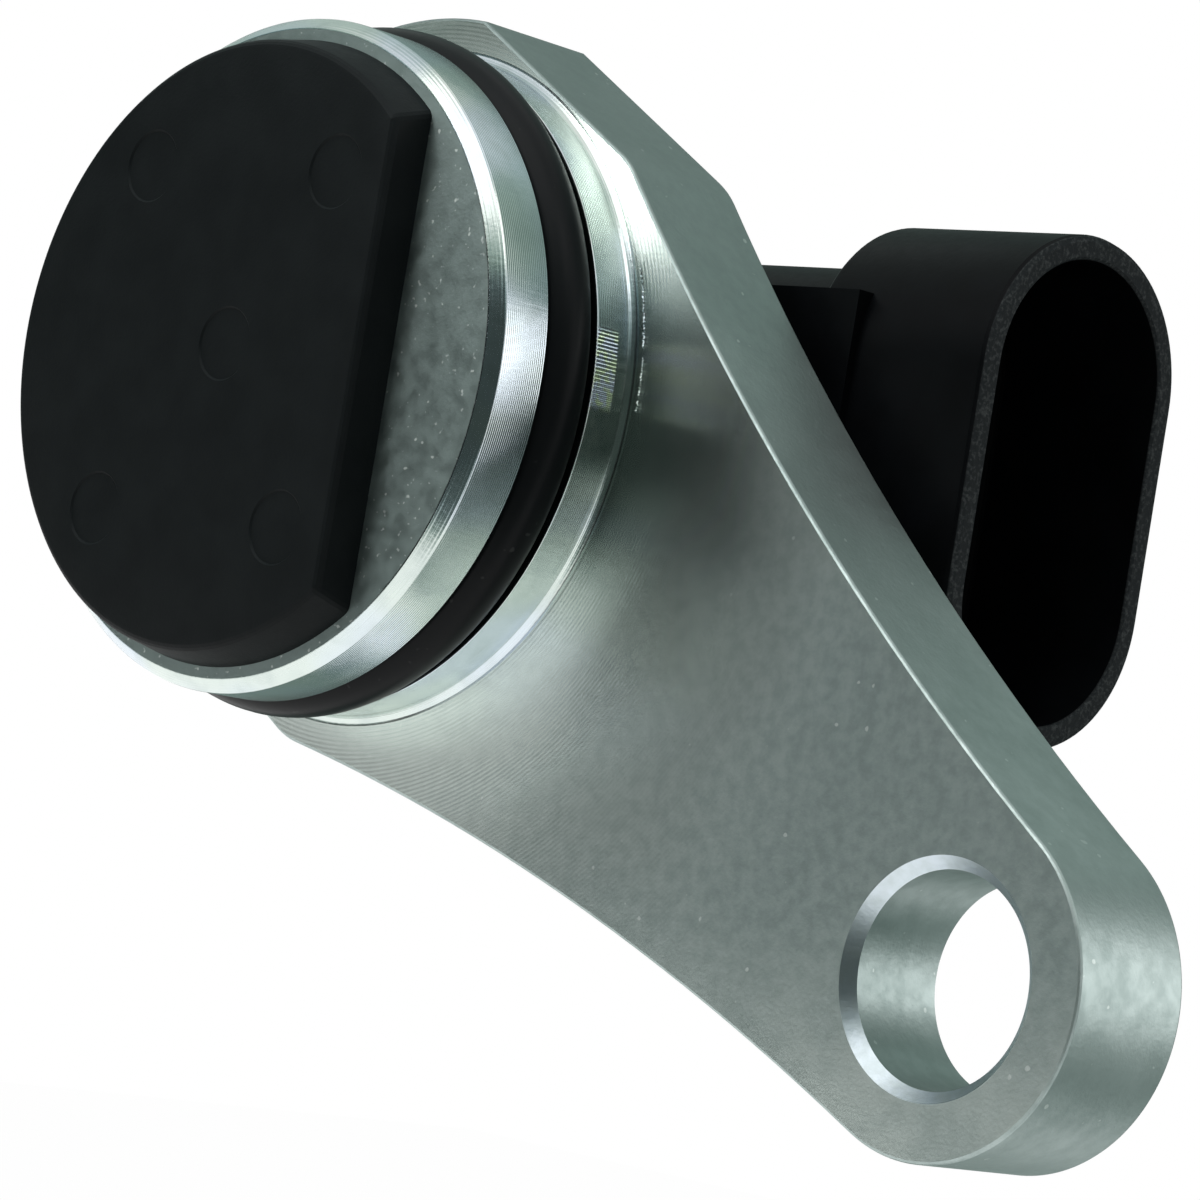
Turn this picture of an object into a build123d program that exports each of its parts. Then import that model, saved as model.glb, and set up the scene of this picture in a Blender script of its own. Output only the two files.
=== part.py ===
from build123d import *
from math import cos, radians, sin, sqrt
import os

# Camshaft position sensor, modelled in millimetres.
# A turned aluminium housing plugs into the engine with its round spigot and
# is held by one bolt through its ear. A black moulded body fills the bore of
# the housing: its nose disc senses the cam wheel, and its connector leaves
# sideways behind the flange. The electronics lie in a capsule in the middle.
#
# The origin is on the spigot axis, in the plane of the mounting face.
# -Y points out of the nose, +X out of the connector mouth, +Z is up.

# Spigot
spigot_diameter = 29.0
spigot_length = 7.9
nose_chamfer_width = 0.5
nose_chamfer_depth = 0.5
groove_front = 4.95
groove_rear = 2.1
groove_depth = 2.0
root_rounding = 0.4

# Flange, with its long axis running from the spigot to the ear
flange_thickness = 6.3
flange_angle = -30.5
head_radius = 16.3
flat_setback = 1.25
shoulder_reach = 5.5
shoulder_rounding = 4.0
waist_radius = 138.0
ear_distance = 41.5
ear_radius = 7.05
bolt_hole_diameter = 8.5
bolt_chamfer_front = 0.5
bolt_chamfer_rear = 1.1

# Bore of the housing, with one keyway against turning
bore_diameter = 16.6
keyway_width = 3.0
keyway_depth = 1.0

# Sealing ring
ring_section = 2.6
ring_seating = 0.1

# Nose disc
disc_thickness = 2.05
disc_base_diameter = 26.9
disc_face_diameter = 26.0
disc_edge_rounding = 0.35
disc_flat_offset = 8.55
eject_mark_diameter = 3.2
eject_mark_depth = 0.08
eject_mark_offset = 0.4
eject_mark_front = 5.5
eject_mark_back = 6.2
eject_mark_spread = 7.45

# Rear of the moulded body and its connector
connector_height = -0.5
connector_depth = 14.9
connector_reach = 26.0
foot_diameter = 21.0
block_face = 8.2
block_half_height = 7.1
block_end = 18.9
neck_radius = 5.4
neck_half_flat = 3.6
rear_end_radius = 9.6
rear_end_rounding = 2.0
shroud_length = 10.0
shroud_radius = 6.3
shroud_half_flat = 4.6
shroud_wall = 1.05
shroud_floor = 1.2
rim_bevel = 0.3
socket_rounding = 0.5
well_radius = 3.6
well_half_flat = 3.6
well_depth = 3.7
lock_ramp_width = 5.0
lock_ramp_height = 1.2
lock_ramp_length = 3.2
lock_ramp_setback = 2.4

# Capsule that keeps the electronics clear of the moulding
capsule_back = 4.8
capsule_floor = 1.8
capsule_wall = 0.9
capsule_front_wall = 0.7
capsule_stem_half = 4.8
capsule_head_start = 8.3
capsule_head_end = 18.8
capsule_head_half = 5.9
capsule_mouth = 4.8
nose_skin = 1.0
lid_thickness = 0.8
stop_rib = 1.0

# Circuit board and the parts of the measuring head
board_inner_face = 2.6
board_thickness = 1.0
board_start = 5.5
chip_width = 4.0
chip_height = 5.2
chip_thickness = 1.4
pole_thickness = 0.7
magnet_length = 4.0
magnet_half_height = 3.0
lead_pitch = 1.27
lead_width = 0.5
lead_thickness = 0.4
lead_setback = 0.5
lead_foot = 2.3

# Terminals
terminal_pitch = 4.2
terminal_names = ("ground", "signal", "supply")
pin_width = 0.8
pin_tail = 0.4
blade_width = 1.5
blade_tip_setback = 5.7
blade_tip_bevel = 0.3

# Chip components on the board: name, size along y and z, height, place y and z
component_sizes = {
    "supply_capacitor": (1.25, 2.0, 0.9, 1.0, 1.9),
    "signal_capacitor": (1.25, 2.0, 0.9, 1.0, -1.9),
    "filter_capacitor": (1.6, 2.4, 1.0, 4.6, 1.7),
    "pull_up_resistor": (1.25, 2.0, 0.5, 4.6, -1.9),
    "protection_diode": (2.6, 1.6, 1.1, 8.2, 0.0),
}

# Sizes that follow from the ones above
spigot_radius = spigot_diameter / 2
spigot_front = -spigot_length
bore_radius = bore_diameter / 2
groove_radius = spigot_radius - groove_depth
flange_half_width = head_radius - flat_setback
disc_front = spigot_front - disc_thickness
shroud_start = connector_reach - shroud_length
socket_floor = shroud_start + shroud_floor
well_floor = socket_floor - well_depth
capsule_front = disc_front + nose_skin
cavity_front = capsule_front + capsule_front_wall
cavity_floor = capsule_floor - capsule_back
stem_cavity_half = capsule_stem_half - capsule_wall
head_cavity_half = capsule_head_half - capsule_wall
lid_face = capsule_mouth + lid_thickness
board_outer_face = board_inner_face + board_thickness
pole_front = cavity_front + chip_thickness
magnet_front = pole_front + pole_thickness
magnet_rear = magnet_front + magnet_length
chip_middle = (cavity_floor + board_inner_face) / 2
chip_edge = chip_middle + chip_width / 2
blade_tip = connector_reach - blade_tip_setback

# Sketch planes: one looks along the spigot axis with the ear on its first
# axis, the other looks along the connector with z on its second axis
ear_direction = Vector(cos(radians(flange_angle)), 0, sin(radians(flange_angle)))
flange_plane = Plane(origin=(0, 0, 0), x_dir=ear_direction, z_dir=(0, 1, 0))
connector_plane = Plane(origin=(0, 0, 0), x_dir=(0, 1, 0), z_dir=(1, 0, 0))


def slab(x_low, x_high, y_low, y_high, z_low, z_high):
    """A block between two opposite corners."""
    size = (x_high - x_low, y_high - y_low, z_high - z_low)
    middle = ((x_low + x_high) / 2, (y_low + y_high) / 2, (z_low + z_high) / 2)
    return Pos(*middle) * Box(*size)


def turned(points):
    """A body of revolution about the spigot axis, from points (radius, y)."""
    return revolve(make_face(Polyline(*points, close=True)), Axis.Y)


def plug(diameter, y_low, y_high):
    """A round plug on the spigot axis."""
    radius = diameter / 2
    return turned([(0, y_low), (radius, y_low), (radius, y_high), (0, y_high)])


def flange_outline():
    """Teardrop outline: round head, two flats, two hollow waists and the ear."""
    shoulder = Vector(shoulder_reach, flange_half_width)
    ear = Vector(ear_distance, 0)
    span = ear - shoulder
    ear_leg = waist_radius + ear_radius
    along = (waist_radius**2 - ear_leg**2 + span.length**2) / (2 * span.length)
    across = sqrt(waist_radius**2 - along**2)
    course = span.normalized()
    centre = shoulder + course * along + course.rotate(Axis.Z, 90) * across
    meeting = ear + (centre - ear).normalized() * ear_radius
    middle = (shoulder + meeting) * 0.5
    hollow = centre + (middle - centre).normalized() * waist_radius
    heel = Vector(-sqrt(head_radius**2 - flange_half_width**2), flange_half_width)
    flat = Line(heel, shoulder)
    waist = ThreePointArc(shoulder, hollow, meeting)
    half = [flat, waist]
    other_half = [edge.mirror(Plane.XZ) for edge in half]
    heel_below = Vector(heel.X, -heel.Y)
    meeting_below = Vector(meeting.X, -meeting.Y)
    nose = ThreePointArc(heel, (-head_radius, 0), heel_below)
    tip = ThreePointArc(meeting, (ear_distance + ear_radius, 0), meeting_below)
    face = make_face(half + other_half + [nose, tip])
    shoulders = face.vertices().filter_by(lambda v: abs(v.X - shoulder_reach) < 0.01)
    return fillet(shoulders, shoulder_rounding)


def bolt_drill():
    """Bolt hole with a light chamfer in front and a deep one at the rear."""
    radius = bolt_hole_diameter / 2
    front = radius + bolt_chamfer_front
    rear = radius + bolt_chamfer_rear
    profile = Polyline(
        (0, 0), (front, 0), (radius, bolt_chamfer_front),
        (radius, flange_thickness - bolt_chamfer_rear),
        (rear, flange_thickness), (0, flange_thickness), close=True,
    )
    hole = revolve(make_face(profile), Axis.Y)
    return Pos(*(ear_direction * ear_distance)) * hole


def spigot():
    """Turned spigot: chamfered nose, front land, ring groove and rear land."""
    return turned([
        (0, spigot_front),
        (spigot_radius - nose_chamfer_width, spigot_front),
        (spigot_radius, spigot_front + nose_chamfer_depth),
        (spigot_radius, -groove_front),
        (groove_radius, -groove_front),
        (groove_radius, -groove_rear),
        (spigot_radius, -groove_rear),
        (spigot_radius, 0),
        (0, 0),
    ])


def root():
    """Hollow rounding between the rear land and the mounting face."""
    depth = root_rounding * (1 - sqrt(0.5))
    foot = spigot_radius + root_rounding
    hollow = ThreePointArc(
        (spigot_radius, -root_rounding), (spigot_radius + depth, -depth), (foot, 0)
    )
    backing = Polyline(
        (foot, 0), (foot, root_rounding), (groove_radius, root_rounding),
        (groove_radius, -root_rounding), (spigot_radius, -root_rounding),
    )
    return revolve(make_face([hollow, backing]), Axis.Y)


def keyway():
    """Key of the moulded body, and keyway of the bore, on the side away from the ear."""
    reach = bore_radius + keyway_depth
    half = keyway_width / 2
    return slab(-reach, 0, spigot_front, flange_thickness, -half, half)


def housing():
    """Aluminium housing: spigot and flange turned and cut from one piece."""
    flange = extrude(flange_plane * flange_outline(), flange_thickness)
    bore = plug(bore_diameter, spigot_front, flange_thickness)
    return flange + spigot() + root() - bore - keyway() - bolt_drill()


def o_ring():
    """Rubber ring, flattened a little where it hugs the groove floor."""
    middle = groove_radius + ring_section / 2 - ring_seating
    place = -(groove_front + groove_rear) / 2
    section = Pos(middle, place) * Circle(ring_section / 2)
    seat = Pos(groove_radius / 2, place) * Rectangle(groove_radius, 2 * ring_section)
    return revolve(section - seat, Axis.Y)


def eject_marks():
    """Shallow round marks that the ejector pins leave on the nose face."""
    places = [(eject_mark_offset, 0)]
    for side in (-1, 1):
        places.append((eject_mark_front, side * eject_mark_spread))
        places.append((-eject_mark_back, side * eject_mark_spread))
    mark = plug(eject_mark_diameter, disc_front, disc_front + eject_mark_depth)
    return [Pos(x, 0, z) * mark for x, z in places]


def nose_disc():
    """Proud round nose with drafted wall, rounded edge and one flat side."""
    wall = Line(
        (disc_base_diameter / 2, spigot_front), (disc_face_diameter / 2, disc_front)
    )
    base = Polyline((0, disc_front), (0, spigot_front), wall @ 0)
    face = make_face([wall, base, Line(wall @ 1, (0, disc_front))])
    rim = face.vertices().filter_by(lambda v: abs(v.X - disc_face_diameter / 2) < 0.01)
    disc = revolve(fillet(rim, disc_edge_rounding), Axis.Y)
    reach = disc_base_diameter
    cut = slab(disc_flat_offset, reach, disc_front, spigot_front, -reach, reach)
    disc -= cut
    flat_edges = disc.edges().filter_by(Axis.Z).group_by(Axis.Y)[0]
    return fillet(flat_edges, disc_edge_rounding) - eject_marks()


def stadium(radius, half_flat, x_low, x_high):
    """Bar along x with straight sides and round ends, at the connector's place."""
    section = SlotCenterToCenter(2 * half_flat, 2 * radius, rotation=90)
    placed = connector_plane * Pos(connector_depth, connector_height) * section
    return Pos(x_low, 0, 0) * extrude(placed, x_high - x_low)


def lock_ramp():
    """Wedge behind the shroud that the plug's latch snaps over."""
    back = connector_depth + shroud_radius
    start = connector_reach - lock_ramp_setback
    end = start - lock_ramp_length
    half = lock_ramp_width / 2
    wedge = Polyline(
        (start, back - shroud_wall / 2), (start, back),
        (end, back + lock_ramp_height), (end, back - shroud_wall / 2), close=True,
    )
    low = Pos(0, 0, connector_height - half)
    return low * extrude(make_face(wedge), lock_ramp_width)


def shroud():
    """Outside of the connector shroud, with bevelled rim and lock ramp."""
    outside = stadium(shroud_radius, shroud_half_flat, shroud_start, connector_reach)
    rim = outside.faces().sort_by(Axis.X)[-1].edges()
    return chamfer(rim, rim_bevel) + lock_ramp()


def hollow(radius, half_flat, x_low):
    """Room open to the connector's mouth, with a rounded edge round its floor."""
    room = stadium(radius, half_flat, x_low, connector_reach)
    floor_edges = room.faces().sort_by(Axis.X)[0].edges()
    return fillet(floor_edges, socket_rounding)


def socket():
    """Hollow of the shroud that takes the plug, with a narrower well round the blades."""
    wide = hollow(shroud_radius - shroud_wall, shroud_half_flat, socket_floor)
    return wide + hollow(well_radius, well_half_flat, well_floor)


def rear_end():
    """Room for the rear body: round on the side away from the socket, open towards it."""
    rear = connector_depth + neck_radius
    half = make_face(Polyline(
        (0, block_face), (rear_end_radius, block_face),
        (rear_end_radius, rear), (0, rear), close=True,
    ))
    corner = half.vertices().sort_by(lambda v: v.X + v.Y)[-1]
    round_end = revolve(fillet(corner, rear_end_rounding), Axis.Y)
    span = 2 * rear_end_radius
    straight = slab(0, connector_reach, block_face, rear, -span, span)
    return Pos(0, 0, connector_height) * round_end + straight


def rear_body():
    """Foot on the flange, flat-faced block and rounded neck up to the shroud."""
    foot = plug(foot_diameter, flange_thickness, block_face)
    neck = stadium(neck_radius, neck_half_flat, -rear_end_radius, shroud_start)
    low = connector_height - block_half_height
    high = connector_height + block_half_height
    block = slab(-rear_end_radius, block_end, block_face, connector_depth, low, high)
    return foot + ((neck + block) & rear_end())


def capsule_stem(half, x_low, x_high, y_low):
    """Narrow end of the capsule, or of its hollow, inside the housing's bore."""
    return slab(x_low, x_high, y_low, connector_depth, -half, half)


def capsule_head(half, x_low, x_high, y_low, y_high):
    """Wide end of the capsule, or of its hollow, behind the flange."""
    low = connector_height - half
    high = connector_height + half
    return slab(x_low, x_high, y_low, y_high, low, high)


def capsule_outside(x_low, x_high):
    """Outer form of the capsule between two levels."""
    stem = capsule_stem(capsule_stem_half, x_low, x_high, capsule_front)
    head = capsule_head(
        capsule_head_half, x_low, x_high, capsule_head_start, capsule_head_end
    )
    return stem + head


def capsule_hollow(x_low, x_high, y_low):
    """Hollow of the capsule between two levels, from a front end backwards."""
    stem = capsule_stem(stem_cavity_half, x_low, x_high, y_low)
    head = capsule_head(
        head_cavity_half, x_low, x_high,
        capsule_head_start + capsule_wall, capsule_head_end - capsule_wall,
    )
    return stem + head


def capsule_tray():
    """Tray with one rib behind the magnet and one under each end of the board's head."""
    tray = capsule_outside(-capsule_back, capsule_mouth)
    tray -= capsule_hollow(cavity_floor, capsule_mouth, cavity_front)
    rib_rear = magnet_rear + stop_rib
    tray += slab(
        cavity_floor, board_inner_face, magnet_rear, rib_rear,
        -stem_cavity_half, stem_cavity_half,
    )
    head_front = capsule_head_start + capsule_wall
    head_rear = capsule_head_end - capsule_wall
    for rib_start in (head_front, head_rear - stop_rib):
        tray += capsule_head(
            head_cavity_half, cavity_floor, board_inner_face,
            rib_start, rib_start + stop_rib,
        )
    return tray


def terminal_heights():
    """Heights of the three terminals, lowest first."""
    return [connector_height + step * terminal_pitch for step in (-1, 0, 1)]


def pin(height, x_low, x_high):
    """Square stretch of a terminal, at its height, between two levels."""
    half = pin_width / 2
    front = connector_depth - half
    rear = connector_depth + half
    return slab(x_low, x_high, front, rear, height - half, height + half)


def blade(height, x_high):
    """Flat stretch of a terminal, from the lid to a level."""
    half = pin_width / 2
    side = blade_width / 2
    front = connector_depth - half
    rear = connector_depth + half
    return slab(lid_face, x_high, front, rear, height - side, height + side)


def terminal(height):
    """Stamped terminal: square pin through the board, flat blade in the socket."""
    flat = blade(height, blade_tip)
    flat = chamfer(flat.faces().sort_by(Axis.X)[-1].edges(), blade_tip_bevel)
    return flat + pin(height, board_inner_face - pin_tail, lid_face)


def capsule_lid():
    """Lid of the capsule, with a square hole for each pin."""
    lid = capsule_outside(capsule_mouth, lid_face)
    for height in terminal_heights():
        lid -= pin(height, capsule_mouth, lid_face)
    return lid


def circuit_board():
    """Board that fills the tray's width and lies on the magnet and the ribs."""
    board = capsule_hollow(board_inner_face, board_outer_face, -board_start)
    for height in terminal_heights():
        board -= pin(height, board_inner_face, board_outer_face)
    return board


def hall_chip():
    """Sensing chip, flat against the front wall of the capsule."""
    low = chip_middle - chip_width / 2
    half = chip_height / 2
    return slab(low, chip_edge, cavity_front, pole_front, -half, half)


def chip_lead(height):
    """Lead that leaves the chip, turns back and lies on the board."""
    front = cavity_front + lead_setback
    top = board_outer_face + lead_thickness
    low = height - lead_width / 2
    high = height + lead_width / 2
    across = slab(chip_edge, top, front, front + lead_thickness, low, high)
    along = slab(board_outer_face, top, front, lead_foot - board_start, low, high)
    return across + along


def magnet_block(y_low, y_high):
    """Square block behind the chip, between the tray's floor and the board."""
    half = magnet_half_height
    return slab(cavity_floor, board_inner_face, y_low, y_high, -half, half)


def component(length, width, height, y, z):
    """Chip component lying on the board."""
    return slab(
        board_outer_face, board_outer_face + height,
        y - length / 2, y + length / 2, z - width / 2, z + width / 2,
    )


def moulded_body():
    """Overmoulding in one piece: nose disc, core, rear body and connector."""
    core = plug(bore_diameter, spigot_front, flange_thickness)
    body = nose_disc() + core + keyway() + rear_body() + shroud()
    body -= socket()
    body -= capsule_outside(-capsule_back, lid_face)
    for height in terminal_heights():
        body -= blade(height, well_floor)
    return body


def pieces():
    """Every piece of the sensor under its own name."""
    made = {
        "housing": housing(),
        "o_ring": o_ring(),
        "moulded_body": moulded_body(),
        "capsule_tray": capsule_tray(),
        "capsule_lid": capsule_lid(),
        "circuit_board": circuit_board(),
        "hall_chip": hall_chip(),
        "pole_piece": magnet_block(pole_front, magnet_front),
        "bias_magnet": magnet_block(magnet_front, magnet_rear),
    }
    heights = zip(terminal_names, terminal_heights(), (-1, 0, 1))
    for name, height, step in heights:
        made[f"terminal_{name}"] = terminal(height)
        made[f"chip_lead_{name}"] = chip_lead(step * lead_pitch)
    for name, sizes in component_sizes.items():
        made[name] = component(*sizes)
    return made


os.makedirs("parts", exist_ok=True)
for name, piece in pieces().items():
    export_step(piece, f"parts/{name}.step")
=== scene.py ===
import math
import random

import bmesh
import bpy
from mathutils import Matrix, Vector


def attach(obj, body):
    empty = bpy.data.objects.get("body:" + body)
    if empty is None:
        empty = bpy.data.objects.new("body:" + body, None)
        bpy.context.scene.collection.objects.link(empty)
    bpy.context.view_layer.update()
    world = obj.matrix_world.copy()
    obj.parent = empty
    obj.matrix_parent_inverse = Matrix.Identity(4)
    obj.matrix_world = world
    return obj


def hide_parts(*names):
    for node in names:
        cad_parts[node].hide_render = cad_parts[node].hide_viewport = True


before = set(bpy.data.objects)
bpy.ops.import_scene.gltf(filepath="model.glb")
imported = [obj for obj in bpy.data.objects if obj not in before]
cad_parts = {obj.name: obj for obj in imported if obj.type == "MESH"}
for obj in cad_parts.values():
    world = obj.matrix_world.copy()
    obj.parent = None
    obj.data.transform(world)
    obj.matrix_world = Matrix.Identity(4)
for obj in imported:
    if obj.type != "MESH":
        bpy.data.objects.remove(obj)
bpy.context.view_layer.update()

mm = 0.001


# Housing. One piece of aluminium, turned on its spigot side and cut to a
# teardrop outline with one bolt ear. The spigot is bright from the lathe, the
# mounting face keeps its turning grooves, and the walls are tumbled matte.
spigot_radius = 14.5 * mm
spigot_front = -7.9 * mm
nose_chamfer = 0.5 * mm
groove_radius = 12.5 * mm
groove_front = -4.95 * mm
groove_rear = -2.1 * mm
root_rounding = 0.4 * mm
burr_radius = 15.16 * mm
burr_half = 0.07 * mm
burr_height = 0.08 * mm
burr_stretches = [(22.0, 8.5), (7.4, -1.5)]
burr_steps = 70
burr_wander = 0.6
burr_lowest = 0.25
bore_radius = 8.3 * mm
key_half = 1.5 * mm
key_depth = 1.0 * mm
flange_thickness = 6.3 * mm
ear_angle = math.radians(30.5)
head_radius = 16.3 * mm
flange_half = 15.05 * mm
shoulder_reach = 5.5 * mm
shoulder_rounding = 4.0 * mm
waist_radius = 138 * mm
ear_distance = 41.5 * mm
ear_radius = 7.05 * mm
hole_radius = 4.25 * mm
hole_chamfer_front = 0.5 * mm
hole_chamfer_rear = 1.1 * mm
edge_break = 0.13 * mm
turned_edge = 0.07 * mm
turn_steps = 180
weld = 0.002 * mm
flat_tolerance = 0.004 * mm
smooth_limit = math.radians(14)
sharp_limit = math.radians(30)
many_sided = 8
origin = (0, 0, 0)
spigot_axis = (0, 1, 0)
ear_centre = Vector((math.cos(ear_angle), 0, -math.sin(ear_angle))) * ear_distance


def last_verts(made):
    """The vertices that an extrude or a spin ends on."""
    found = made.get("geom_last") or made["geom"]
    return [item for item in found if isinstance(item, bmesh.types.BMVert)]


def spin_round(bm, geom, centre, axis, angle, steps):
    """Spins geometry round an axis, and closes a full turn where it meets itself."""
    return bmesh.ops.spin(
        bm, geom=geom, cent=centre, axis=axis, dvec=(0, 0, 0), angle=angle, steps=steps,
        use_merge=angle == math.tau, use_normal_flip=False, use_duplicate=False,
    )


def sweep(bm, vert, centre, axis, angle, steps):
    """Carries an outline on round a centre, and gives its new last vertex."""
    return last_verts(spin_round(bm, [vert], centre, axis, angle, steps))[0]


def straight(bm, vert, shift):
    """Carries an outline straight on, and gives its new last vertex."""
    end = bmesh.ops.extrude_vert_indiv(bm, verts=[vert])["verts"][0]
    bmesh.ops.translate(bm, verts=[end], vec=shift)
    return end


def turned_wall(bm, profile, centre=origin):
    """Spins a profile of (radius, y) points all round an axis along Y."""
    run = [bm.verts.new(Vector((radius, y, 0)) + Vector(centre)) for radius, y in profile]
    edges = [bm.edges.new(pair) for pair in zip(run, run[1:])]
    spin_round(bm, run + edges, centre, spigot_axis, math.tau, turn_steps)


def quarter_turn(steps=6):
    """The angles of a quarter circle in even steps."""
    return [step * math.pi / (2 * steps) for step in range(steps + 1)]


def soften(bm, edges, width, segments=2):
    """Breaks sharp edges with a small rounding."""
    bmesh.ops.bevel(
        bm, geom=edges, offset=width, offset_type="OFFSET", segments=segments,
        profile=0.5, affect="EDGES", material=-1,
    )


def sharp_edges(bm, inside=lambda place: True):
    """Closed edges with a sharp turn, where the test holds at both ends."""
    return [
        edge for edge in bm.edges
        if edge.is_manifold and edge.calc_face_angle(0) > sharp_limit
        and all(inside(vert.co) for vert in edge.verts)
    ]


def fill_plane(bm, y):
    """Fills the flat area between the open loops that lie at one depth."""
    loops = [
        edge for edge in bm.edges
        if edge.is_boundary and all(abs(vert.co.y - y) < flat_tolerance for vert in edge.verts)
    ]
    bmesh.ops.triangle_fill(
        bm, use_beauty=True, use_dissolve=False, edges=loops, normal=spigot_axis,
    )


def weld_all(bm):
    """Merges doubled vertices and turns every face outwards."""
    bmesh.ops.remove_doubles(bm, verts=bm.verts, dist=weld)
    bmesh.ops.recalc_face_normals(bm, faces=bm.faces)
    if bm.calc_volume(signed=True) < 0:
        bmesh.ops.reverse_faces(bm, faces=bm.faces)


def extrude_body(bm, shift):
    """Carries a flat face on by a shift and closes the body between."""
    made = bmesh.ops.extrude_face_region(bm, geom=bm.faces[:], use_keep_orig=True)
    bmesh.ops.translate(bm, verts=last_verts(made), vec=shift)
    weld_all(bm)


def as_object(name, bm, finishes):
    """Makes a finished mesh an object, smooth apart from its sharp edges."""
    for face in bm.faces:
        face.smooth = True
    for edge in bm.edges:
        edge.smooth = edge.is_manifold and edge.calc_face_angle(0) < smooth_limit
    mesh = bpy.data.meshes.new(name)
    bm.to_mesh(mesh)
    bm.free()
    for finish in finishes:
        mesh.materials.append(finish)
    made = bpy.data.objects.new(name, mesh)
    bpy.context.scene.collection.objects.link(made)
    return made


def flange_outline(bm):
    """Half the teardrop from head to ear tip, mirrored, filled and turned to the ear."""
    shoulder = Vector((shoulder_reach, flange_half))
    ear = Vector((ear_distance, 0))
    span = ear - shoulder
    ear_leg = waist_radius + ear_radius
    along = (waist_radius**2 - ear_leg**2 + span.length_squared) / (2 * span.length)
    across = math.sqrt(waist_radius**2 - along**2)
    course = span.normalized()
    waist = shoulder + course * along + course.orthogonal() * across
    bend_depth = flange_half - shoulder_rounding
    bend_leg = waist_radius + shoulder_rounding
    bend = Vector((waist.x - math.sqrt(bend_leg**2 - (waist.y - bend_depth) ** 2), bend_depth))
    heel = math.acos(-math.sqrt(head_radius**2 - flange_half**2) / head_radius)
    to_waist = math.atan2(waist.y - bend.y, waist.x - bend.x)
    at_ear = math.atan2(waist.y, waist.x - ear.x)
    start = bm.verts.new((-head_radius, 0, 0))
    vert = sweep(bm, start, origin, spigot_axis, math.pi - heel, steps=36)
    vert = straight(bm, vert, (bend.x - head_radius * math.cos(heel), 0, 0))
    vert = sweep(bm, vert, (bend.x, 0, bend.y), spigot_axis, math.pi / 2 - to_waist, steps=8)
    vert = sweep(bm, vert, (waist.x, 0, waist.y), spigot_axis, to_waist - at_ear, steps=24)
    sweep(bm, vert, (ear.x, 0, 0), spigot_axis, at_ear, steps=40)
    bmesh.ops.mirror(
        bm, geom=bm.verts[:] + bm.edges[:], matrix=Matrix.Identity(4), merge_dist=weld, axis="Z",
    )
    bmesh.ops.remove_doubles(bm, verts=bm.verts, dist=weld)
    towards_ear = Matrix.Rotation(ear_angle, 3, "Y")
    bmesh.ops.rotate(bm, verts=bm.verts, cent=origin, matrix=towards_ear)
    bmesh.ops.edgeloop_fill(bm, edges=bm.edges)


def flange_wall(bm):
    """Side wall of the flange with broken edges, open in front and behind."""
    flange_outline(bm)
    extrude_body(bm, (0, flange_thickness, 0))
    soften(bm, sharp_edges(bm), edge_break)
    caps = [face for face in bm.faces if len(face.verts) > many_sided]
    bmesh.ops.delete(bm, geom=caps, context="FACES_ONLY")


def keyed_bore(bm):
    """Wall of the bore with its keyway, from the spigot's front to the flange's rear."""
    gap = math.asin(key_half / bore_radius)
    reach = bore_radius * math.cos(gap)
    start = bm.verts.new((-reach, spigot_front, key_half))
    centre = (0, spigot_front, 0)
    vert = sweep(bm, start, centre, spigot_axis, math.tau - 2 * gap, steps=120)
    vert = straight(bm, vert, (reach - bore_radius - key_depth, 0, 0))
    vert = straight(bm, vert, (0, 0, 2 * key_half))
    bm.edges.new((vert, start))
    loop = [edge for edge in bm.edges if not edge.link_faces]
    made = bmesh.ops.extrude_edge_only(bm, edges=loop)
    bmesh.ops.translate(bm, verts=last_verts(made), vec=(0, flange_thickness - spigot_front, 0))


def combine(first, second, operation):
    """Joins, cuts or overlaps two closed meshes and gives the one that is left."""
    helpers = [as_object("helper", bm, []) for bm in (first, second)]
    step = helpers[0].modifiers.new("combine", "BOOLEAN")
    step.object = helpers[1]
    step.operation = operation
    step.solver = "EXACT"
    graph = bpy.context.evaluated_depsgraph_get()
    result = bmesh.new()
    result.from_mesh(bpy.data.meshes.new_from_object(helpers[0].evaluated_get(graph)))
    for helper in helpers:
        bpy.data.objects.remove(helper)
    weld_all(result)
    return result


def burr_mesh(first, last):
    """Torn lip beside the root: a thin ridge along the tool's path with a ragged crest."""
    bm = bmesh.new()
    to_start = Matrix.Rotation(-math.radians(first), 3, "Y")
    section = [(-burr_half, burr_half), (0, -burr_height), (burr_half, burr_half)]
    corners = [to_start @ Vector((burr_radius + out, y, 0)) for out, y in section]
    start = bm.faces.new([bm.verts.new(corner) for corner in corners])
    spin_round(bm, [start], origin, spigot_axis, math.radians(first - last), burr_steps)
    rags = random.Random(4)
    for vert in bm.verts:
        if vert.co.y < 0:
            out = rags.uniform(-burr_wander, burr_wander) * burr_half / burr_radius
            vert.co = vert.co * (1 + out)
            vert.co.y = -burr_height * rags.uniform(burr_lowest, 1.0)
    weld_all(bm)
    return bm


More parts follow.
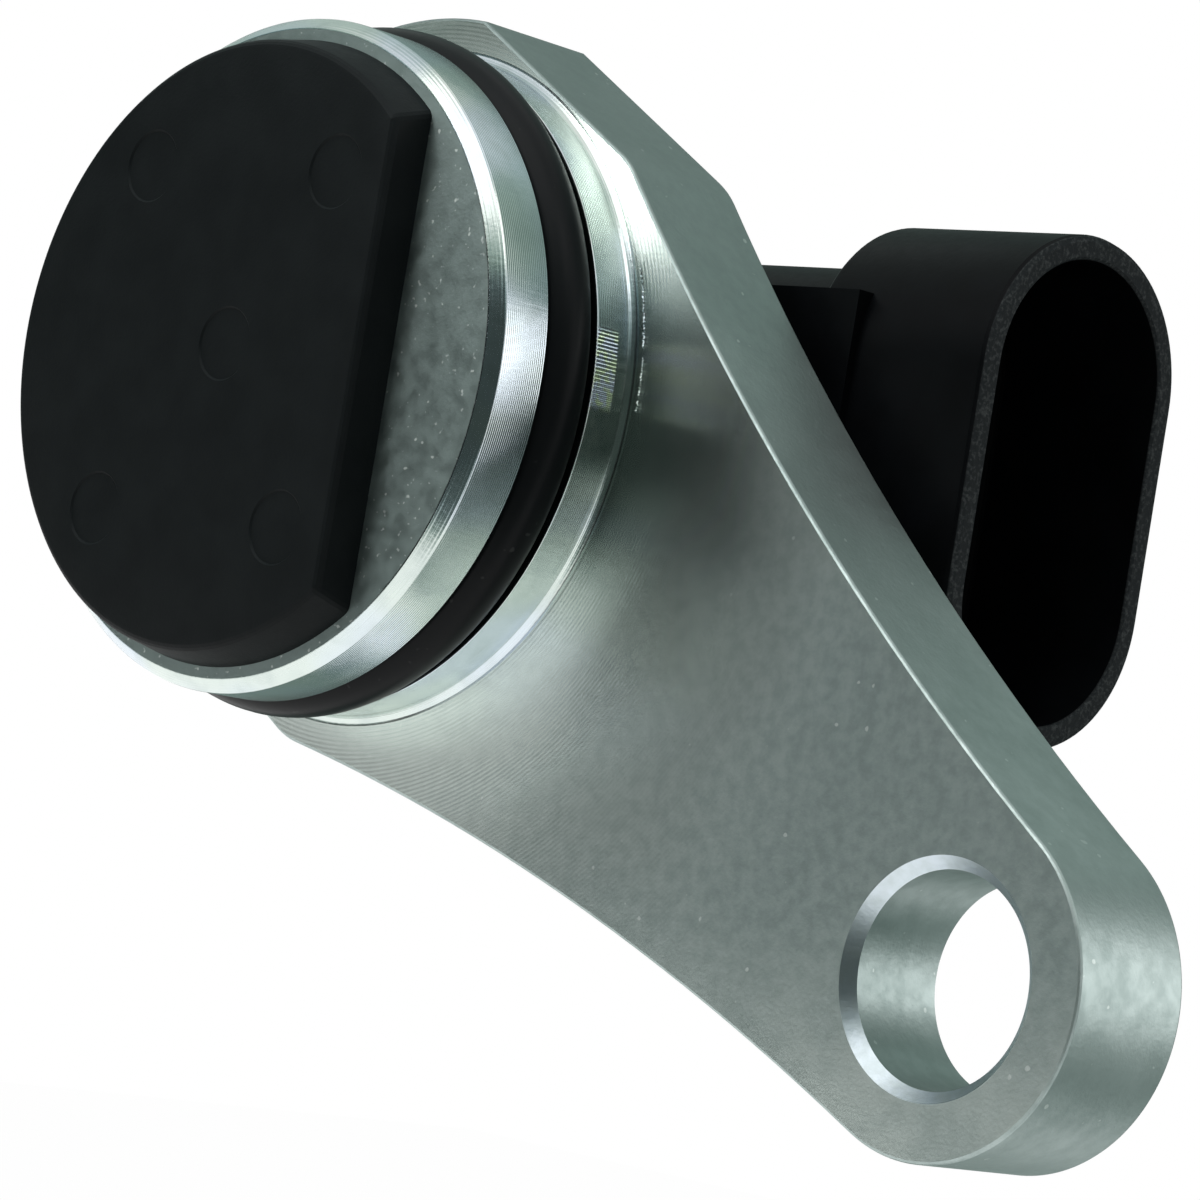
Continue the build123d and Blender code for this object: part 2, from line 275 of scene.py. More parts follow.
def housing_mesh():
    """The whole housing as one closed mesh."""
    bm = bmesh.new()
    flange_wall(bm)
    root = [(
        spigot_radius + root_rounding * (1 - math.cos(angle)),
        -root_rounding * (1 - math.sin(angle)),
    ) for angle in quarter_turn()]
    turned_wall(bm, [
        (spigot_radius - nose_chamfer, spigot_front),
        (spigot_radius, spigot_front + nose_chamfer),
        (spigot_radius, groove_front),
        (groove_radius, groove_front),
        (groove_radius, groove_rear),
        (spigot_radius, groove_rear),
        *root,
    ])
    keyed_bore(bm)
    turned_wall(bm, [
        (hole_radius + hole_chamfer_front, 0),
        (hole_radius, hole_chamfer_front),
        (hole_radius, flange_thickness - hole_chamfer_rear),
        (hole_radius + hole_chamfer_rear, flange_thickness),
    ], ear_centre)
    for depth in (spigot_front, 0, flange_thickness):
        fill_plane(bm, depth)
    weld_all(bm)
    soften(bm, sharp_edges(bm, lambda place: place.y < -root_rounding), turned_edge)
    weld_all(bm)
    for first, last in burr_stretches:
        bm = combine(bm, burr_mesh(first, last), "UNION")
    return bm


class Term:
    """One socket of a recipe, so that shader maths reads as sums and products."""

    def __init__(self, recipe, socket):
        self.recipe = recipe
        self.socket = socket

    def maths(self, operation, *values):
        return self.recipe.node("ShaderNodeMath", {"operation": operation}, dict(enumerate(values)))

    def __add__(self, other):
        return self.maths("ADD", self, other)

    def __radd__(self, other):
        return self.maths("ADD", other, self)

    def __sub__(self, other):
        return self.maths("SUBTRACT", self, other)

    def __rsub__(self, other):
        return self.maths("SUBTRACT", other, self)

    def __mul__(self, other):
        return self.maths("MULTIPLY", self, other)

    def __rmul__(self, other):
        return self.maths("MULTIPLY", other, self)


class Recipe:
    """The nodes of one material or of the world."""

    def __init__(self, tree):
        self.tree = tree
        tree.nodes.clear()

    def node(self, kind, settings=None, inputs=None, output=0):
        """Adds a node: its settings first, then the values or links of its sockets."""
        made = self.tree.nodes.new(kind)
        for name, value in (settings or {}).items():
            setattr(made, name, value)
        for name, value in (inputs or {}).items():
            if isinstance(value, Term):
                self.tree.links.new(value.socket, made.inputs[name])
            else:
                made.inputs[name].default_value = value
        return Term(self, made.outputs[output]) if made.outputs else None

    def place(self, stretch=(1, 1, 1)):
        """Object coordinates in millimetres, drawn out or pressed together along each axis."""
        there = self.node("ShaderNodeTexCoord", output="Object")
        scale = tuple(share / mm for share in stretch)
        return self.node("ShaderNodeVectorMath", {"operation": "MULTIPLY"}, {0: there, 1: scale})

    def parts(self, vector):
        """The three parts of a vector."""
        split = self.node("ShaderNodeSeparateXYZ", inputs={0: vector})
        return [Term(self, output) for output in split.socket.node.outputs]

    def axes(self):
        """The three coordinates in millimetres."""
        return self.parts(self.place())

    def radius(self, x, z):
        """Distance from the spigot axis in millimetres."""
        return self.node("ShaderNodeMath", {"operation": "SQRT"}, {0: x * x + z * z})

    def grain(self, size, stretch=(1, 1, 1), detail=3.0, roughness=0.55):
        """Noise from 0 to 1 whose lumps are about size millimetres across."""
        inputs = {
            "Vector": self.place(stretch), "Scale": 1 / size,
            "Detail": detail, "Roughness": roughness,
        }
        return self.node("ShaderNodeTexNoise", inputs=inputs)

    def between(self, value, low, high):
        """Rises smoothly from 0 to 1 as the value goes from low to high."""
        inputs = {"Value": value, "From Min": low, "From Max": high}
        return self.node("ShaderNodeMapRange", {"interpolation_type": "SMOOTHSTEP"}, inputs)

    def wave(self, value, pitch):
        """Sine of a length in millimetres, one turn to each pitch."""
        return self.node("ShaderNodeMath", {"operation": "SINE"}, {0: value * (math.tau / pitch)})

    def blend(self, share, first, second):
        """Goes from the first colour to the second with the share."""
        # A Mix node's colours are its inputs 6 and 7 and its output 2.
        settings = {"data_type": "RGBA"}
        return self.node("ShaderNodeMix", settings, {0: share, 6: first, 7: second}, 2)

    def relief(self, height, strength=1.0, **under):
        """Turns a height in millimetres into a bumped normal, on top of another one."""
        inputs = {"Height": height, "Distance": mm, "Strength": strength, **under}
        return self.node("ShaderNodeBump", inputs=inputs)

    def shader(self, **sockets):
        """A shader with the named sockets set."""
        inputs = {name.replace("_", " "): value for name, value in sockets.items()}
        return self.node("ShaderNodeBsdfPrincipled", inputs=inputs)

    def even_mix(self, shaders):
        """Equal parts of several shaders."""
        mixed = shaders[0]
        for count, shader in enumerate(shaders[1:], start=2):
            mixed = self.node("ShaderNodeMixShader", inputs={0: 1 / count, 1: mixed, 2: shader})
        return mixed

    def finish(self, shader):
        """Ends the recipe in a shader."""
        self.node("ShaderNodeOutputMaterial", inputs={"Surface": shader})

    def surface(self, **sockets):
        """Ends the recipe in one shader with the named sockets set."""
        self.finish(self.shader(**sockets))


def new_finish(name):
    """A new material and the recipe for its nodes."""
    finish = bpy.data.materials.new(name)
    finish.use_nodes = True
    return finish, Recipe(finish.node_tree)


def shade(red, green, blue):
    """A colour in linear values, with its alpha."""
    return (red, green, blue, 1.0)


aluminium_bright = shade(0.63, 0.70, 0.66)
aluminium_cool = shade(0.61, 0.68, 0.73)
aluminium_dull = shade(0.44, 0.51, 0.495)
aluminium_dark = shade(0.28, 0.345, 0.33)
aluminium_deep = shade(0.20, 0.25, 0.24)
aluminium_nick = shade(0.80, 0.85, 0.82)
# Yellow and violet paint a rainbow reflection into the rippled patch of the rear land.
painted_rainbow_yellow = shade(0.85, 0.92, 0.62)
painted_rainbow_violet = shade(0.74, 0.76, 0.95)
# The finishes count in millimetres, and the ripple in radians round the spigot.
feed_pitch = 0.11
ripple_pitch = 0.16 * mm / spigot_radius
ripple_first = math.radians(-2)
ripple_last = math.radians(11)
ripple_fade = math.radians(1)
ripple_rear = -0.9
groove_pitch = 0.19
flank_slopes = (-0.31, -0.22, -0.09, 0.09, 0.22, 0.31)


def turned_land():
    """Bright lathe finish: feed marks, faint chatter and a rippled patch on the rear land, with a
    painted rainbow reflection on the patch.
    """
    finish, make = new_finish("turned_land")
    x, y, z = make.axes()
    feed = make.wave(y, feed_pitch) * 0.0028
    chatter = make.grain(0.22, (1, 0.06, 1), 2.0) * 0.004
    stain = make.between(make.grain(1.6, detail=2.0), 0.4, 0.75)
    cast = make.between(make.grain(6.0, detail=1.0), 0.4, 0.6)
    colour = make.blend(cast, aluminium_bright, aluminium_cool)
    colour = make.blend(stain * 0.4, colour, aluminium_dull)
    angle = z.maths("ARCTAN2", z, x)
    from_first = make.between(angle, ripple_first - ripple_fade, ripple_first + ripple_fade)
    past_last = make.between(angle, ripple_last - ripple_fade, ripple_last + ripple_fade)
    from_groove = make.between(y, groove_rear / mm, groove_rear / mm + 0.1)
    past_rear = make.between(y, ripple_rear, ripple_rear + 0.15)
    rippled = from_first * (1 - past_last) * (from_groove * (1 - past_rear))
    # Painted reflection: the rippled patch is tinted yellow and violet, like the rainbow of a
    # reflected screen.
    tint = make.between(make.grain(0.4, detail=1.0), 0.4, 0.6)
    colour = make.blend(rippled * 0.8, colour, make.blend(tint, painted_rainbow_yellow, painted_rainbow_violet))
    ripple = make.wave(angle, ripple_pitch) * rippled * 0.010
    roughness = 0.13 + 0.08 * make.grain(0.5)
    normal = make.relief(feed + chatter + ripple)
    make.surface(Base_Color=colour, Metallic=1.0, Roughness=roughness, Normal=normal)
    return finish


def blasted_nose():
    """Front of the spigot: even grain with pale flecks."""
    finish, make = new_finish("blasted_nose")
    mottle = make.between(make.grain(0.8, detail=8.0), 0.3, 0.7)
    fleck = make.between(make.grain(0.28, detail=1.0), 0.68, 0.78)
    colour = make.blend(mottle * 0.6, aluminium_deep, aluminium_dark)
    colour = make.blend(fleck * 0.6, colour, aluminium_nick)
    roughness = 0.44 + 0.14 * mottle
    normal = make.relief(make.grain(0.16) * 0.012)
    make.surface(Base_Color=colour, Metallic=1.0, Roughness=roughness, Normal=normal)
    return finish


def faced_flange():
    """Mounting face: turning grooves round the spigot that fade into a matte ear, and painted light
    that makes the face paler towards its lower end.

    The flanks of the finest grooves are shaders that lean in and out. A grain
    finer than a pixel keeps the change of roughness from showing as a line.
    """
    finish, make = new_finish("faced_flange")
    x, _, z = make.axes()
    radius = make.radius(x, z)
    wander = make.grain(9.0, detail=1.0) * 8.0
    matte = make.between(radius + wander, 19.0, 38.0)
    mottle = make.between(make.grain(0.7, detail=4.0), 0.28, 0.72)
    cloud = make.between(make.grain(4.0, detail=2.0), 0.35, 0.65)
    fleck = make.between(make.grain(0.42, detail=0.0), 0.81, 0.85)
    # Painted light: below z -19 mm the face is blended towards bright aluminium by a cloudy share,
    # most fully below -27.5 mm.
    clear_of_painted_light = make.between(z, -27.5, -19.0)
    colour = make.blend(matte, aluminium_bright, aluminium_dull)
    colour = make.blend(mottle * 0.1 + (0.5 + 0.45 * mottle) * matte, colour, aluminium_dark)
    colour = make.blend((1 - clear_of_painted_light) * (0.35 + 0.3 * cloud), colour, aluminium_bright)
    colour = make.blend(fleck * 0.5, colour, aluminium_nick)
    dull = make.between(radius + wander, 18.0, 34.0)
    finest = make.grain(0.02, detail=1.0) - 0.5
    roughness = 0.14 + 0.30 * dull + 0.3 * finest
    grooves = make.wave(radius, groove_pitch) * (1 - matte) * 0.0014
    grit = make.grain(0.2) * (0.002 + 0.008 * matte)
    rough = make.relief(grooves + grit)
    leaning = [
        make.shader(
            Base_Color=colour, Metallic=1.0, Roughness=roughness,
            Normal=make.relief(radius * slope, 1 - matte, Normal=rough),
        )
        for slope in flank_slopes
    ]
    make.finish(make.even_mix(leaning))
    return finish


def tumbled_wall():
    """Side walls, rear and bolt hole: matte and cloudy from tumbling, with painted shade that
    darkens them upwards.
    """
    finish, make = new_finish("tumbled_wall")
    z = make.axes()[2]
    mottle = make.between(make.grain(0.8, detail=5.0), 0.3, 0.7)
    cloud = make.between(make.grain(5.0, detail=2.0), 0.3, 0.7)
    fleck = make.between(make.grain(0.4, detail=0.0), 0.82, 0.86)
    colour = make.blend(mottle * 0.35 + cloud * 0.4, aluminium_dull, aluminium_dark)
    # Painted shade: the walls are blended towards deep aluminium upwards, from z -16 mm to 12 mm.
    colour = make.blend(make.between(z, -16, 12) * 0.6, colour, aluminium_deep)
    colour = make.blend(fleck * 0.4, colour, aluminium_nick)
    roughness = 0.44 + 0.05 * mottle
    normal = make.relief(make.grain(0.22) * 0.012)
    make.surface(Base_Color=colour, Metallic=1.0, Roughness=roughness, Normal=normal)
    return finish


def burnished_chamfer():
    """Chamfer of the bolt hole, brighter than the walls and softened by the tumbling."""
    finish, make = new_finish("burnished_chamfer")
    mottle = make.between(make.grain(0.8, detail=5.0), 0.3, 0.7)
    colour = make.blend(mottle * 0.5, aluminium_cool, aluminium_dull)
    roughness = 0.30 + 0.06 * mottle
    normal = make.relief(make.grain(0.22) * 0.008)
    make.surface(Base_Color=colour, Metallic=1.0, Roughness=roughness, Normal=normal)
    return finish


land_zone, nose_zone, face_zone, wall_zone, chamfer_zone = range(5)
housing_finishes = [
    turned_land(), blasted_nose(), faced_flange(), tumbled_wall(), burnished_chamfer(),
]


def housing_zone(face):
    """Which of the five finishes a face of the housing gets."""
    place = face.calc_center_median()
    if place.y < spigot_front + flat_tolerance:
        return nose_zone
    if place.y < -flat_tolerance:
        return land_zone
    if place.y < flat_tolerance:
        return land_zone if place.xz.length < spigot_radius + root_rounding else face_zone
    from_hole = (place.xz - ear_centre.xz).length
    if place.y < hole_chamfer_front and from_hole < hole_radius + hole_chamfer_front:
        return chamfer_zone
    return wall_zone


housing_bm = housing_mesh()
for face in housing_bm.faces:
    face.material_index = housing_zone(face)
housing = as_object("housing_turned", housing_bm, housing_finishes)
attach(housing, "root")
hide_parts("housing")


# Sealing ring. A black rubber ring, stretched into the spigot's groove, so it
# sits flat on the groove's floor and stands a little proud of the lands.
ring_section = 1.3 * mm
ring_radius = 13.7 * mm
ring_depth = (groove_front + groove_rear) / 2
rubber_black = shade(0.004, 0.005, 0.0055)
rubber_dust = shade(0.4, 0.42, 0.4)


def ring_mesh():
    """Round section, flat where it sits, spun about the spigot axis."""
    bm = bmesh.new()
    place = Matrix.Translation((ring_radius, ring_depth, 0))
    section = bmesh.ops.create_circle(bm, segments=40, radius=ring_section, matrix=place)
    for vert in section["verts"]:
        vert.co.x = max(vert.co.x, groove_radius)
    spin_round(bm, bm.verts[:] + bm.edges[:], origin, spigot_axis, math.tau, turn_steps)
    weld_all(bm)
    return bm


def ring_rubber():
    """Satin black rubber with a fine matte grain and a little dust."""
    finish, make = new_finish("ring_rubber")
    dust = make.between(make.grain(0.5, detail=1.0), 0.72, 0.8)
    colour = make.blend(dust * 0.05, rubber_black, rubber_dust)
    roughness = 0.3 + 0.12 * make.grain(0.4)
    normal = make.relief(make.grain(0.12) * 0.002)
    make.surface(Base_Color=colour, Roughness=roughness, Normal=normal, Specular_IOR_Level=0.1)
    return finish


ring = as_object("sealing_ring", ring_mesh(), [ring_rubber()])
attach(ring, "root")
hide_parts("o_ring")


# Measuring head. Sensing chip, pole piece and magnet lie behind the nose, and
# the chip's leads run back to the board with its five small components. They
# are sealed inside the capsule and keep the shapes of the CAD nodes.
epoxy_black = shade(0.02, 0.02, 0.022)
steel_grey = shade(0.45, 0.45, 0.46)
magnet_grey = shade(0.22, 0.22, 0.24)
board_green = shade(0.02, 0.16, 0.07)
ceramic_tan = shade(0.42, 0.3, 0.19)
tin_pale = shade(0.62, 0.62, 0.6)


def fine_finish(name, colour, roughness, metallic):
    """A plain finish with its own fine grain."""
    finish, make = new_finish(name)
    grain = make.grain(0.3)
    darker = shade(*(0.8 * value for value in colour[:3]))
    make.surface(
        Base_Color=make.blend(grain, colour, darker), Metallic=metallic,
        Roughness=roughness + 0.15 * grain, Normal=make.relief(grain * 0.004),
    )
    return finish


def dress(nodes, finish):
    """Gives the objects of some CAD nodes one finish all over."""
    for node in nodes:
        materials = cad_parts[node].data.materials
        materials.clear()
        materials.append(finish)


dress(
    ("hall_chip", "pull_up_resistor", "protection_diode"),
    fine_finish("chip_epoxy", epoxy_black, 0.5, 0.0),
)
dress(
    ("supply_capacitor", "signal_capacitor", "filter_capacitor"),
    fine_finish("fired_ceramic", ceramic_tan, 0.4, 0.0),
)
dress(
    ("chip_lead_ground", "chip_lead_signal", "chip_lead_supply"),
    fine_finish("tinned_lead", tin_pale, 0.3, 1.0),
)
dress(("pole_piece",), fine_finish("stamped_steel", steel_grey, 0.35, 1.0))
dress(("bias_magnet",), fine_finish("sintered_magnet", magnet_grey, 0.5, 1.0))
dress(("circuit_board",), fine_finish("board_lacquer", board_green, 0.35, 0.0))


# Capsule. A moulded tray and its lid keep the board and the measuring head
# clear of the overmoulding. Both are plain black plastic.
capsule_dark = shade(0.03, 0.03, 0.03)
dress(("capsule_tray", "capsule_lid"), fine_finish("capsule_black", capsule_dark, 0.5, 0.0))


# Terminals. Three stamped and tinned blades, from the board through the lid
# into the socket.
blade_pale = shade(0.5, 0.49, 0.46)
dress(
    ("terminal_ground", "terminal_signal", "terminal_supply"),
    fine_finish("tinned_blade", blade_pale, 0.3, 1.0),
)


# Overmoulding. One shot of black glass-filled plastic fills the bore: the
# drafted nose disc with its flat and ejector marks, the foot behind the flange,
# the neck, and the thin-walled shroud of the connector.
disc_front = -9.95 * mm
disc_base = 13.45 * mm
disc_face = 13.0 * mm
disc_flat = 8.55 * mm
disc_edge = 0.35 * mm
mark_radius = 1.6 * mm
mark_depth = 0.08 * mm
mark_places = [(0.4, 0), (5.5, 7.45), (5.5, -7.45), (-6.2, 7.45), (-6.2, -7.45)]
foot_radius = 10.5 * mm
block_face = 8.2 * mm
block_half = 7.1 * mm
block_end = 18.9 * mm
connector_centre = Vector((0, 14.9, -0.5)) * mm
neck_radius = 5.4 * mm
neck_flat = 3.6 * mm
rear_end_radius = 9.6 * mm
rear_end_rounding = 2.0 * mm
shroud_start = 16.0 * mm
shroud_end = 26.0 * mm
shroud_radius = 6.3 * mm
shroud_flat = 4.6 * mm
shroud_wall = 1.05 * mm
shroud_rounding = 0.45 * mm
rim_bevel = 0.3 * mm
socket_floor = 17.2 * mm
socket_flare = 0.12 * mm
well_half = 3.6 * mm
well_floor = 13.5 * mm
ramp_half = 2.5 * mm
ramp_height = 1.2 * mm
ramp_length = 3.2 * mm
ramp_setback = 2.4 * mm
moulded_edge = 0.2 * mm
connector_axis = (1, 0, 0)
nose_black = shade(0.0032, 0.0048, 0.0052)
nose_cloud = shade(0.005, 0.007, 0.0074)
connector_black = shade(0.0012, 0.0015, 0.0018)
connector_cloud = shade(0.002, 0.0025, 0.003)
rim_dark = shade(0.014, 0.017, 0.018)
rim_pale = shade(0.045, 0.051, 0.051)


def closed_turning(profile, centre=origin):
    """A closed body of revolution about an axis along Y."""
    bm = bmesh.new()
    turned_wall(bm, profile, centre)
    bmesh.ops.holes_fill(bm, edges=bm.edges)
    weld_all(bm)
    return bm


def ejector_mark(bm, middle):
    """Shallow round dent in the disc's front, with a sloping wall."""
    floor_radius = mark_radius - mark_depth
    floor_place = Matrix.Translation(middle + Vector((0, disc_front + mark_depth, 0)))
    mark = bmesh.ops.create_circle(
        bm, cap_ends=True, segments=48, radius=floor_radius,
        matrix=floor_place @ Matrix.Rotation(math.pi / 2, 4, "X"),
    )
    floor_edges = {edge for vert in mark["verts"] for edge in vert.link_edges}
    wall = bmesh.ops.extrude_edge_only(bm, edges=list(floor_edges))
    rim = last_verts(wall)
    bmesh.ops.translate(bm, verts=rim, vec=(0, -mark_depth, 0))
    wider = mark_radius / floor_radius
    bmesh.ops.scale(bm, verts=rim, vec=(wider, 1, wider), space=Matrix.Translation(-middle))


def nose_mesh():
    """Nose disc: drafted wall, flat side, rounded edges and ejector marks."""
    bm = closed_turning([(disc_base, spigot_front), (disc_face, disc_front)])
    bmesh.ops.bisect_plane(
        bm, geom=bm.verts[:] + bm.edges[:] + bm.faces[:], dist=weld,
        plane_co=(disc_flat, 0, 0), plane_no=connector_axis, clear_outer=True,
    )
    bmesh.ops.holes_fill(bm, edges=[edge for edge in bm.edges if edge.is_boundary])
    weld_all(bm)
    front = sharp_edges(bm, lambda place: place.y < disc_front + flat_tolerance)
    soften(bm, front, disc_edge, segments=4)
    corners = [
        edge for edge in sharp_edges(bm, lambda place: place.x > disc_flat - disc_edge)
        if abs(edge.verts[0].co.y - edge.verts[1].co.y) > flat_tolerance
    ]
    soften(bm, corners, moulded_edge)
    caps = [
        face for face in bm.faces
        if len(face.verts) > many_sided
        and face.calc_center_median().y < disc_front + flat_tolerance
    ]
    bmesh.ops.delete(bm, geom=caps, context="FACES_ONLY")
    for x, z in mark_places:
        ejector_mark(bm, Vector((x, 0, z)) * mm)
    fill_plane(bm, disc_front)
    weld_all(bm)
    return bm


def stadium_bar(radius, flat, x_low, x_high):
    """Bar along the connector's axis, flat-sided and round above and below, closed."""
    bm = bmesh.new()
    top = connector_centre + Vector((x_low, 0, flat))
    low = connector_centre + Vector((x_low, 0, -flat))
    start = bm.verts.new(top - Vector((0, radius, 0)))
    vert = sweep(bm, start, top, connector_axis, -math.pi, steps=48)
    vert = straight(bm, vert, (0, 0, -2 * flat))
    vert = sweep(bm, vert, low, connector_axis, -math.pi, steps=48)
    bm.edges.new((vert, start))
    bmesh.ops.edgeloop_fill(bm, edges=bm.edges)
    extrude_body(bm, (x_high - x_low, 0, 0))
    return bm


def box_mesh(low, high):
    """A closed block between two opposite corners."""
    bm = bmesh.new()
    size = high - low
    place = Matrix.Translation((low + high) / 2) @ Matrix.Diagonal((*size, 1))
    bmesh.ops.create_cube(bm, size=1, matrix=place)
    return bm


def shroud_mesh():
    """Shroud as a solid bar with rounded rear edge and bevelled rim."""
    bm = stadium_bar(shroud_radius, shroud_flat, shroud_start, shroud_end)
    rear = sharp_edges(bm, lambda place: place.x < shroud_start + weld)
    soften(bm, rear, shroud_rounding, segments=4)
    front = sharp_edges(bm, lambda place: place.x > shroud_end - weld)
    soften(bm, front, rim_bevel)
    weld_all(bm)
    return bm


def socket_mesh():
    """Room inside the shroud, rounded at its floor and flared at its mouth."""
    radius = shroud_radius - shroud_wall
    bm = stadium_bar(radius, shroud_flat, socket_floor, shroud_end - socket_flare)
    floor = sharp_edges(bm, lambda place: place.x < socket_floor + weld)
    soften(bm, floor, shroud_rounding, segments=4)
    mouth = max(bm.faces, key=lambda face: face.normal.x * face.calc_area())
    made = bmesh.ops.extrude_face_region(bm, geom=[mouth])
    bmesh.ops.delete(bm, geom=[mouth], context="FACES_ONLY")
    flared = last_verts(made)
    bmesh.ops.translate(bm, verts=flared, vec=(2 * socket_flare, 0, 0))
    wider = 1 + 2 * socket_flare / radius
    for end in (shroud_flat, -shroud_flat):
        half = [vert for vert in flared if (vert.co.z - connector_centre.z) / end > 0.99]
        middle = connector_centre + Vector((0, 0, end))
        bmesh.ops.scale(bm, verts=half, vec=(1, wider, wider), space=Matrix.Translation(-middle))
    weld_all(bm)
    return bm


def well_mesh():
    """Narrower well behind the socket, round the foot of the blades."""
    bm = stadium_bar(well_half, well_half, well_floor, socket_floor + shroud_rounding)
    floor = sharp_edges(bm, lambda place: place.x < well_floor + weld)
    soften(bm, floor, shroud_rounding, segments=4)
    weld_all(bm)
    return bm


def ramp_mesh():
    """Wedge behind the shroud for the plug's latch."""
    back = connector_centre.y + shroud_radius
    start = shroud_end - ramp_setback
    end = start - ramp_length
    bm = bmesh.new()
    low = connector_centre.z - ramp_half
    corners = [
        (start, back - shroud_wall / 2), (start, back),
        (end, back + ramp_height), (end, back - shroud_wall / 2),
    ]
    bm.faces.new([bm.verts.new((x, y, low)) for x, y in corners])
    extrude_body(bm, (0, 0, 2 * ramp_half))
    return bm


def rear_room():
    """Room for the rear body: round on the closed side, open towards the socket."""
    rear = connector_centre.y + neck_radius
    centre = (0, 0, connector_centre.z)
    edge = [(
        rear_end_radius - rear_end_rounding * (1 - math.cos(angle)),
        rear - rear_end_rounding * (1 - math.sin(angle)),
    ) for angle in quarter_turn()]
    round_end = closed_turning([(rear_end_radius, block_face), *edge], centre)
    span = 2 * rear_end_radius
    open_side = box_mesh(Vector((0, block_face, -span)), Vector((span, rear, span)))
    return combine(round_end, open_side, "UNION")


def rear_mesh():
    """Neck and flat-faced block, cut to the rear body's room, with the foot under them."""
    neck = stadium_bar(neck_radius, neck_flat, -rear_end_radius, shroud_start + shroud_wall)
    low = Vector((-rear_end_radius, block_face, connector_centre.z - block_half))
    high = Vector((block_end, connector_centre.y, connector_centre.z + block_half))
    body = combine(neck, box_mesh(low, high), "UNION")
    body = combine(body, rear_room(), "INTERSECT")
    foot = closed_turning([(foot_radius, flange_thickness), (foot_radius, block_face)])
    return combine(body, foot, "UNION")


def overmoulding_mesh():
    """The whole moulding as one closed skin."""
    core = closed_turning([(bore_radius, spigot_front), (bore_radius, flange_thickness)])
    body = combine(rear_mesh(), core, "UNION")
    body = combine(body, nose_mesh(), "UNION")
    body = combine(body, shroud_mesh(), "UNION")
    body = combine(body, ramp_mesh(), "UNION")
    body = combine(body, socket_mesh(), "DIFFERENCE")
    return combine(body, well_mesh(), "DIFFERENCE")


def nose_moulding():
    """Nose disc: matte, fine-grained black."""
    finish, make = new_finish("nose_moulding")
    cloud = make.between(make.grain(2.5, detail=4.0), 0.3, 0.7)
    colour = make.blend(cloud, nose_black, nose_cloud)
    roughness = 0.5 + 0.12 * make.grain(0.5)
    normal = make.relief(make.grain(0.14, detail=4.0) * 0.010)
    make.surface(Base_Color=colour, Roughness=roughness, Normal=normal, Specular_IOR_Level=0.1)
    return finish


def connector_moulding():
    """Connector: smoother, satin black with a sandy rim."""
    finish, make = new_finish("connector_moulding")
    cloud = make.between(make.grain(3.0, detail=3.0), 0.3, 0.7)
    x = make.axes()[0]
    colour = make.blend(cloud, connector_black, connector_cloud)
    rim = make.between(x, shroud_end / mm - 0.16, shroud_end / mm - 0.06)
    sand = make.grain(0.16, detail=2.0)
    sparkle = make.between(sand, 0.45, 0.75)
    colour = make.blend(rim, colour, make.blend(sparkle, rim_dark, rim_pale))
    roughness = 0.34 + 0.12 * make.grain(0.4) + 0.2 * rim
    normal = make.relief(make.grain(0.2, detail=3.0) * 0.005 + sand * rim * 0.02)
    make.surface(Base_Color=colour, Roughness=roughness, Normal=normal, Specular_IOR_Level=0.045)
    return finish


moulding_bm = overmoulding_mesh()
for face in moulding_bm.faces:
    face.material_index = 1 if face.calc_center_median().y > 0 else 0
moulding = as_object("overmoulding", moulding_bm, [nose_moulding(), connector_moulding()])
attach(moulding, "root")
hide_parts("moulded_body")


# Studio. White ground with a pale floor under the part, one soft lamp above,
# and two cards that only mirrors see, which give the turned metal its dark and
# bright bands.
camera_azimuth = math.radians(44.642)
camera_elevation = math.radians(-2.772)
camera_roll = math.radians(9.39)
camera_distance = 199.247 * mm
camera_target = Vector((14.876, 0, -8.194)) * mm
camera_lens = 145.248
floor_height = -300 * mm
floor_half = 3.0
card_centre = Vector((14, 0, -6)) * mm
card_distance = 250 * mm
ground_light = 0.55
floor_lift = 0.55
upwards = (0, 0, 1)
white = shade(1, 1, 1)
floor_pale = shade(0.8, 0.8, 0.8)
card_tint = shade(0.74, 1.0, 0.92)


def direction(azimuth, elevation):
    """Unit vector from the part towards a place round it, angles in radians."""
    level = math.cos(elevation)
    return Vector((math.sin(azimuth) * level, -math.cos(azimuth) * level, math.sin(elevation)))


def place_camera():
    """Long lens from the front right, a little below the part and rolled."""
    back = direction(camera_azimuth, camera_elevation)
    level = Vector(upwards).cross(back).normalized()
    upright = back.cross(level)
    right = level * math.cos(camera_roll) + upright * math.sin(camera_roll)
    top = upright * math.cos(camera_roll) - level * math.sin(camera_roll)
    data = bpy.data.cameras.new("camera")
    data.lens = camera_lens
    data.sensor_width = 36
    data.clip_start = 0.01
    data.clip_end = 20
    camera = bpy.data.objects.new("camera", data)
    facing = Matrix((right, top, back)).transposed().to_4x4()
    camera.matrix_world = Matrix.Translation(camera_target + back * camera_distance) @ facing
    bpy.context.scene.collection.objects.link(camera)
    bpy.context.scene.camera = camera


def seen_straight(make):
    """1 for rays from the camera and for rays that a mirror or glass sends on."""
    outputs = make.node("ShaderNodeLightPath").socket.node.outputs
    rays = ("Is Camera Ray", "Is Glossy Ray", "Is Transmission Ray")
    camera, glossy, sent_on = (Term(make, outputs[name]) for name in rays)
    either = camera.maths("MAXIMUM", camera, glossy)
    return either.maths("MAXIMUM", either, sent_on)


def white_ground():
    """World: white to look at, and a softer even light for the part."""
    world = bpy.data.worlds.new("white_ground")
    world.use_nodes = True
    make = Recipe(world.node_tree)
    seen = seen_straight(make)
    strength = ground_light + (1 - ground_light) * seen
    light = make.node("ShaderNodeBackground", inputs={"Color": white, "Strength": strength})
    make.node("ShaderNodeOutputWorld", inputs={"Surface": light})
    bpy.context.scene.world = world


